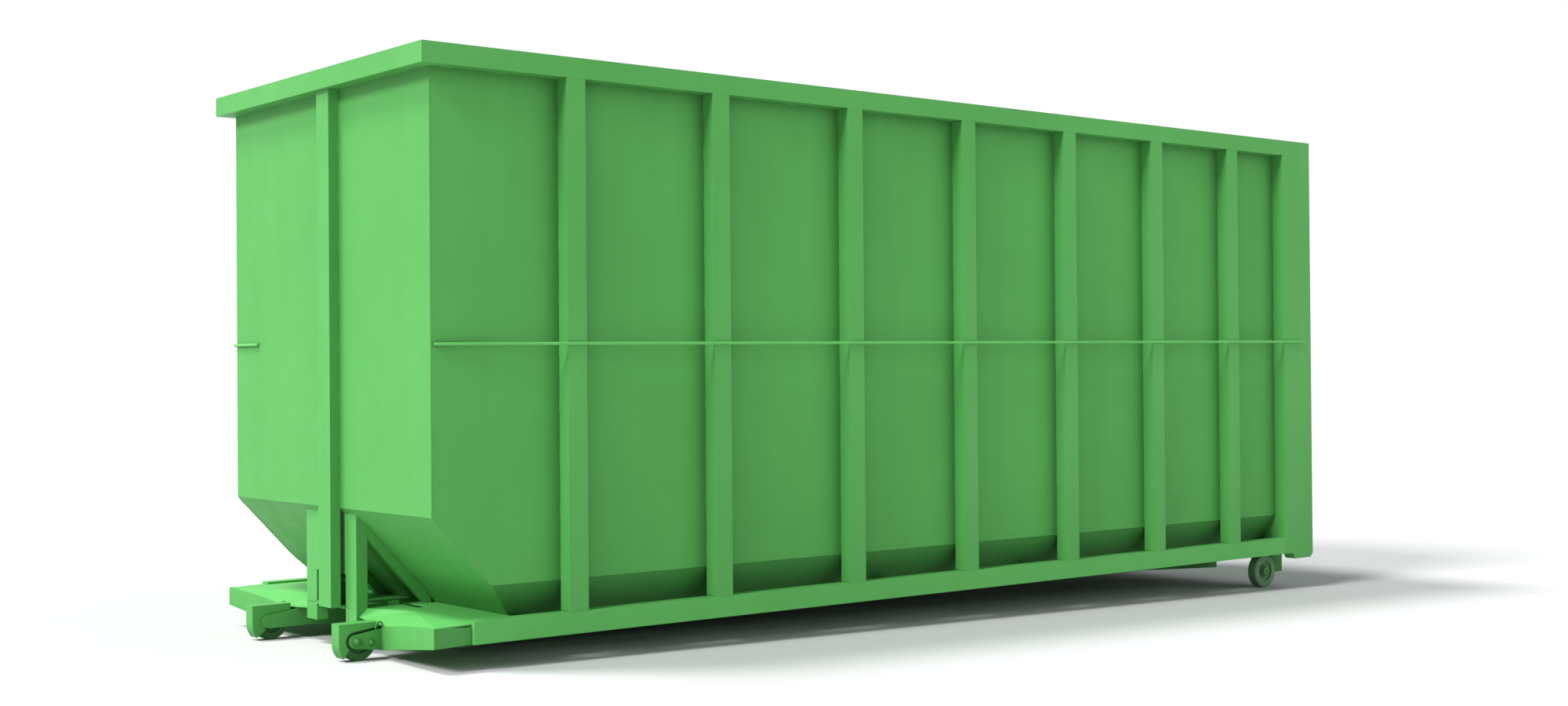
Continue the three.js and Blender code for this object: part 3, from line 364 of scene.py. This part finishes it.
# Welds of the body
welds = Pieces("body_welds", "container", weld_paint)
rail_seam = RAIL_UNDER - 1
rib_head, rib_foot = RAIL_UNDER - 2, LOW_RAIL_TOP + 2
for side in SIDES:
    seam_x, edge_x, face_x = side * (WALL + 1), side * (WALL - 1), side * (HALF - 1)
    # ribs: up the side sheet, and round head and foot
    for y in RIB_Y:
        for edge in (y - RIB_HALF, y + RIB_HALF):
            welds.stitches((seam_x, edge, TAPER_TOP + 40), (seam_x, edge, RAIL_UNDER - 12), *RIB_SEAM)
            for z, radius in ((rib_foot, 3.6), (rib_head, 3.2)):
                welds.bead((side * (WALL + 4), edge, z), (side * (HALF - 4), edge, z), radius)
        for z, radius in ((rib_foot, 3.4), (rib_head, 3.0)):
            welds.bead((face_x, y - RIB_HALF + 3, z), (face_x, y + RIB_HALF - 3, z), radius)
    # front corner, down the sheet, the slope and the taper
    welds.bead((edge_x, 2, RAIL_UNDER - 6), (edge_x, 2, FOLD + 8), 2.6, 16)
    fold_foot = (edge_x, slope_y(TAPER_TOP), TAPER_TOP)
    welds.bead((edge_x, slope_y(FOLD - 5), FOLD - 5), fold_foot, 3.0)
    welds.bead(fold_foot, (side * (taper_x(TUB_FLOOR) - 1), slope_y(TUB_FLOOR), TUB_FLOOR), 3.2)
    # long seam under the top rail
    welds.stitches((seam_x, 40, rail_seam), (seam_x, LENGTH - REAR_POST - 25, rail_seam), *RAIL_SEAM)
    # strut: its two edges at the slope, its front at head and foot
    for x in (STRUT_IN, STRUT_OUT):
        welds.bead((side * x, *STRUT_EDGE_FRONT), (side * x, *STRUT_EDGE_REAR), 3.4)
    for x, z, radius in ((STRUT_IN, STRUT_HEAD, 3.6), (STRUT_FOOT, STRUT_SOLE, 3.4)):
        welds.bead((side * (x + 2), STRUT_Y, z), (side * (STRUT_OUT - 2), STRUT_Y, z), radius)
    # brace: along the slope
    for x in BRACE_EDGES:
        welds.stitches((side * x, slope_y(BRACE_HIGH) - 1, BRACE_HIGH),
                       (side * x, slope_y(BRACE_LOW) - 1, BRACE_LOW), *BRACE_SEAM)
    # skirt to arm, and deck to skirt
    welds.bead((side * ARM_X, ARM_Y, ARM_HIGH), (side * ARM_X, ARM_Y, ARM_LOW), 3.2)
    welds.bead((side * SKIRT_X, SKIRT_Y, SKIRT_LOW), (side * SKIRT_X, SKIRT_Y, SKIRT_HIGH), 3.0)
    # rear post
    post_seam = LENGTH - REAR_POST - 1
    welds.stitches((seam_x, post_seam, TAPER_TOP + 20), (seam_x, post_seam, RAIL_UNDER - 12), *REAR_POST_SEAM)
# front post: up the sheet and round its head
for x in (POST_X - POST_HALF, POST_X + POST_HALF):
    welds.stitches((x, -1, FOLD + 10), (x, -1, RAIL_UNDER - 8), *FRONT_POST_SEAM)
near, far = POST_X - POST_HALF + 2, POST_X + POST_HALF - 2
welds.bead((near, 1 - POST_DEPTH, rib_head), (far, 1 - POST_DEPTH, rib_head), 3.2)
for x in (near, far):
    welds.bead((x, 2 - POST_DEPTH, rib_head), (x, -4, rib_head), 3.0)
# front sheet, under the top rail
welds.stitches((20 - WALL, -1, rail_seam), (WALL - 20, -1, rail_seam), *FRONT_SEAM)
# mitred corners of the top rail
top, corner_y = HEIGHT - 0.8, 1 - FRONT_REACH
for side in SIDES:
    welds.bead((side * (HALF - 2), 2 - FRONT_REACH, top),
               (side * (HALF - RAIL_DEPTH + 2), RAIL_DEPTH - FRONT_REACH - 2, top), 2.4)
    corner_x = side * (HALF - 0.8)
    welds.bead((corner_x, corner_y, RAIL_UNDER + 4), (corner_x, corner_y, HEIGHT - 3), 1.8)
# tacks of the tie rods on each rib
for y in RIB_Y:
    for edge in (y - TACK_EDGE, y + TACK_EDGE):
        for side in SIDES:
            x = side * TACK_X
            z = ROD_FRONT[side] + (ROD_REAR - ROD_FRONT[side]) * y / LENGTH - TACK_DROP
            welds.bead((x, edge - TACK_HALF, z), (x, edge + TACK_HALF, z), 3.6, 6)
welds.finish()

# Fasteners of the rollers and wheels: place, number of sides, angle of the first, and profile of each turned piece
NOSE_BOLT, REAR_BOLT, ROLLER_AXLE, WHEEL_AXLE = (-112, -24), (-32, -34), (-86, -34), (6485, -138)
FASTENERS = (
    ((570, *NOSE_BOLT), 32, 0, ((0, 24), (2.4, 24), (3, 22.5))),
    ((572.5, *NOSE_BOLT), 6, 0.35, ((0, 19), (8, 19), (10.5, 16.5))),
    ((582, *NOSE_BOLT), 20, 0, ((0, 11), (3, 10), (5.5, 7), (6.6, 2))),
    ((570, *REAR_BOLT), 28, 0, ((0, 17), (2, 17), (2.6, 16))),
    ((572, *REAR_BOLT), 24, 0, ((0, 13), (5, 13), (8, 10), (9.4, 5))),
    ((569.6, *ROLLER_AXLE), 28, 0, ((0, 16), (0.8, 16), (1.6, 14.6))),
    ((1001, *WHEEL_AXLE), 36, 0, ((0, 33), (8, 33), (11, 29))),
    ((1011, *WHEEL_AXLE), 16, 0, ((0, 5.5), (3, 5.5), (3, 3.4), (6, 3.4), (7, 4.2), (9, 2.4))),
)
# Small hook of bent rod behind each guard
HOOK_X, HOOK_Y, HOOK_Z = 564, -6, 24
HOOK_LENGTH, HOOK_HEIGHT, HOOK_STEPS, HOOK_RADIUS = 38, 40, 14, 4.6
bolts = Pieces("body_fasteners", "container", bolt_paint)
for side in SIDES:
    for (x, y, z), sides, start_angle, profile in FASTENERS:
        bolts.turned((side * x, y, z), (side, 0, 0), profile, sides, start_angle)
    bend = [math.pi * k / HOOK_STEPS for k in range(HOOK_STEPS + 1)]
    bolts.rod([(side * HOOK_X, HOOK_Y + HOOK_LENGTH * (1 - math.cos(t)) / 2,
                HOOK_Z + HOOK_HEIGHT * math.sin(t) ** 0.6) for t in bend], HOOK_RADIUS)
bolts.finish()

# Rear door: seams of sheet, ribs and hinge straps
DOOR_LOW = 122.0
DOOR_RIBS = [DOOR_LOW + share * (HEIGHT - DOOR_LOW) for share in (0.2, 0.4, 0.6, 0.8)]
DOOR_RIB_HALF = 38
SHEET_Y = 6661
STILES = (-1009, 1009)
STRAP_END, STRAP_Y, STRAP_HALF = -852, 6737, 35
door_welds = Pieces("door_welds", "door", weld_paint)
for z in DOOR_RIBS:
    rib_edges = (z - DOOR_RIB_HALF, z + DOOR_RIB_HALF)
    for edge in rib_edges:
        door_welds.stitches((-1008, SHEET_Y, edge), (1008, SHEET_Y, edge), *DOOR_RIB_SEAM)
    for x in STILES:
        for edge in rib_edges:
            door_welds.bead((x, SHEET_Y + 3, edge), (x, 6732, edge), 3.0)
        door_welds.bead((x, LENGTH - 1, z - 36), (x, LENGTH - 1, z + 36), 2.4)
    for edge in (z - STRAP_HALF, z + STRAP_HALF):
        door_welds.bead((-1108, STRAP_Y, edge), (STRAP_END - 2, STRAP_Y, edge), 3.0)
    door_welds.bead((STRAP_END, STRAP_Y, z - 33), (STRAP_END, STRAP_Y, z + 33), 3.0)
for x in STILES:
    lows = [224.0] + [z + DOOR_RIB_HALF for z in DOOR_RIBS]
    highs = [z - DOOR_RIB_HALF for z in DOOR_RIBS] + [RAIL_UNDER]
    for low, high in zip(lows, highs):
        door_welds.stitches((x, SHEET_Y, low), (x, SHEET_Y, high), *DOOR_SHEET_SEAM)
door_welds.finish()

# Rear door: grease points of the hinges, washers and bolts of the straps, and the end of the lever's pivot
GREASE_POINT = ((0, 5), (3, 5), (3, 3.2), (6, 3.2), (7, 4), (9, 2.2))
LEVER_PIVOT = (942.0, 6800, DOOR_RIBS[1])
REARWARD = (0, 1, 0)
door_bolts = Pieces("door_fasteners", "door", bolt_paint)
for z in DOOR_RIBS:
    door_bolts.turned((-1213, 6777, z), (-1, 0, 0), GREASE_POINT, 16)
    for x in (-1060, -980, -900):
        door_bolts.turned((x, 6751, z), REARWARD, ((0, 14), (2.2, 14), (2.6, 13)), 24)
        door_bolts.turned((x, 6753, z), REARWARD, ((0, 11), (6.5, 11), (8, 9.4)), 6, 0.3)
door_bolts.turned(LEVER_PIVOT, REARWARD, ((0, 13), (5, 13), (6.5, 11)), 6, 0.5)
door_bolts.finish()


# Stage
def seen_directly(tree):
    """1 for rays from the camera and for those that gloss and glass send on."""
    path = tree.nodes.new("ShaderNodeLightPath")
    total = path.outputs["Is Camera Ray"]
    for other in ("Is Glossy Ray", "Is Transmission Ray"):
        add = tree.nodes.new("ShaderNodeMath")
        add.operation = "ADD"
        add.use_clamp = True
        tree.links.new(total, add.inputs[0])
        tree.links.new(path.outputs[other], add.inputs[1])
        total = add.outputs["Value"]
    return total


def split(tree, lights, shows, output):
    """Sends the first shader to the rays that carry light, and the second to those that are seen."""
    blend = tree.nodes.new("ShaderNodeMixShader")
    tree.links.new(seen_directly(tree), blend.inputs["Fac"])
    tree.links.new(lights, blend.inputs[1])
    tree.links.new(shows, blend.inputs[2])
    tree.links.new(blend.outputs["Shader"], tree.nodes[output].inputs["Surface"])


FLOOR_HALF, FLOOR_Z = 200, -0.001
FLOOR_GREY, FLOOR_SEEN = 0.6, 0.63
mesh = bpy.data.meshes.new("floor")
corners = [(x * FLOOR_HALF, y * FLOOR_HALF, FLOOR_Z) for x, y in ((-1, -1), (1, -1), (1, 1), (-1, 1))]
mesh.from_pydata(corners, [], [(0, 1, 2, 3)])
floor = bpy.data.objects.new("floor", mesh)
scene.collection.objects.link(floor)
mat = bpy.data.materials.new("floor")
mat.use_nodes = True
matt = mat.node_tree.nodes["Principled BSDF"]
matt.inputs["Base Color"].default_value = (FLOOR_GREY, FLOOR_GREY, FLOOR_GREY, 1)
matt.inputs["Roughness"].default_value = 0.9
matt.inputs["Specular IOR Level"].default_value = 0.0
seen = mat.node_tree.nodes.new("ShaderNodeBsdfDiffuse")
seen.inputs["Color"].default_value = (FLOOR_SEEN, FLOOR_SEEN, FLOOR_SEEN, 1)
split(mat.node_tree, matt.outputs["BSDF"], seen.outputs["BSDF"], "Material Output")
mesh.materials.append(mat)

world = bpy.data.worlds.new("studio")
world.use_nodes = True
scene.world = world
sky = world.node_tree.nodes["Background"]
sky.inputs["Color"].default_value = (0.93, 0.95, 1.0, 1)
sky.inputs["Strength"].default_value = 0.38
white = world.node_tree.nodes.new("ShaderNodeBackground")
white.inputs["Color"].default_value = (1, 1, 1, 1)
white.inputs["Strength"].default_value = 1.0
split(world.node_tree, sky.outputs["Background"], white.outputs["Background"], "World Output")


def sun(name, direction, strength, angle, glints=True):
    data = bpy.data.lights.new(name, "SUN")
    data.energy = strength
    data.angle = math.radians(angle)
    obj = bpy.data.objects.new(name, data)
    scene.collection.objects.link(obj)
    obj.rotation_euler = Vector(direction).to_track_quat("-Z", "Y").to_euler()
    obj.visible_glossy = glints


sun("key", (-0.15, 1.0, -0.8), 2.62, 18)
sun("fill", (-1.0, -0.9, -0.4), 0.78, 55, glints=False)
sun("top", (0.3, 0.42, -1.0), 2.6, 14)
